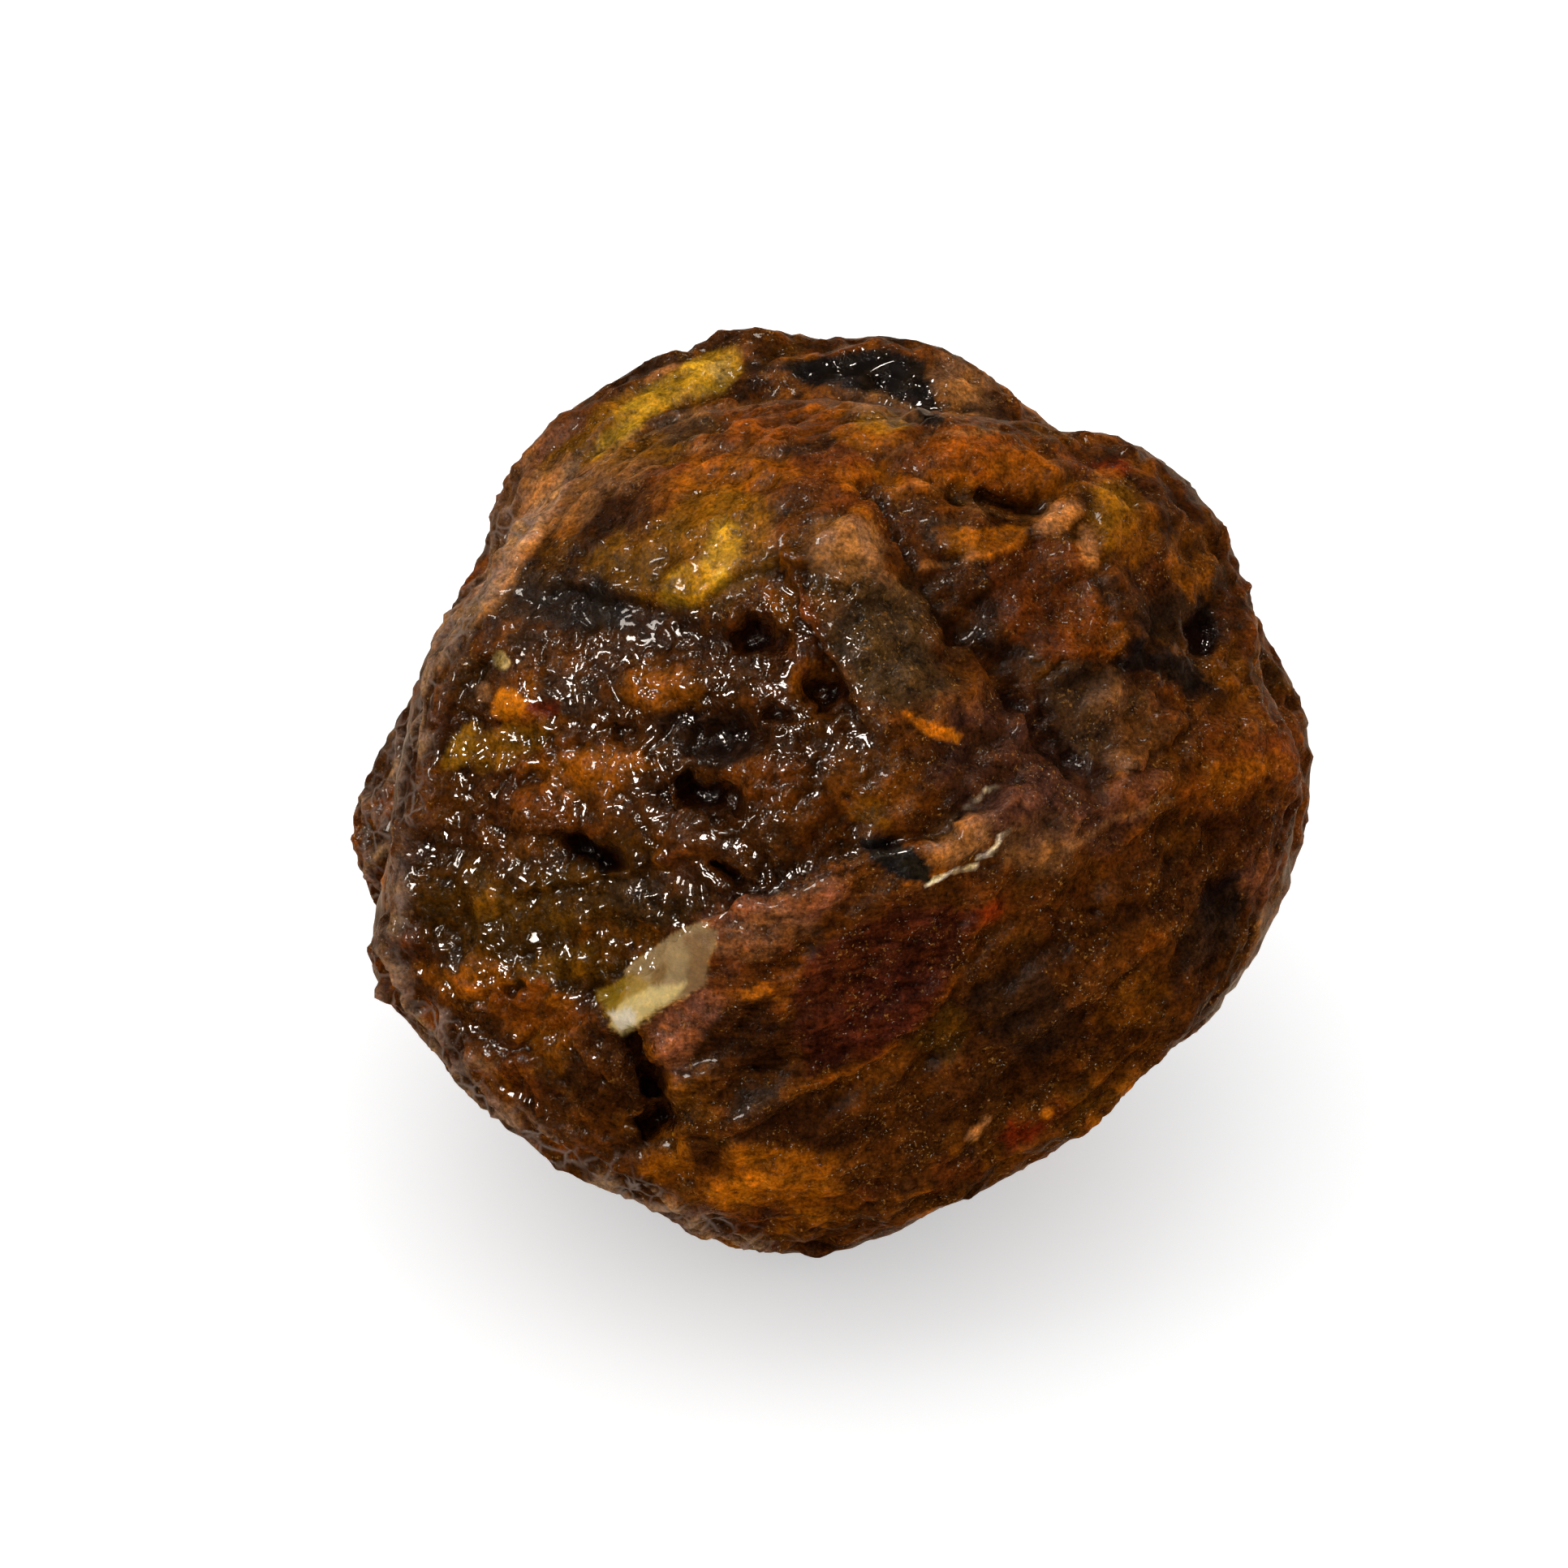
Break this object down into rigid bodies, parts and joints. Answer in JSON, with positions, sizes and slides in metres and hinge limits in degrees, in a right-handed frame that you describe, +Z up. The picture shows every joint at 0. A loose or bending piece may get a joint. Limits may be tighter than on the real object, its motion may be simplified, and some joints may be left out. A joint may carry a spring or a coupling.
{
  "type": "raw amber piece",
  "caption": "Rough rounded lump of raw amber with a worn, pitted brown crust, see-through amber showing in places, lying on a small flat.",
  "frame": {"origin": "middle of the lump's box, on the surface it lies on", "axes": "+Z up, +X to the right and +Y away from whoever looks at the lump's best side"},
  "size_m": [0.0522, 0.0474, 0.0437],
  "materials": {
    "amber": "raw amber crust: mottled brown, olive and orange, wet gloss in the pitted dish, duller worn plates"
  },
  "bodies": {
    "root": {"amber_lump": "amber"}
  },
  "joints": []
}
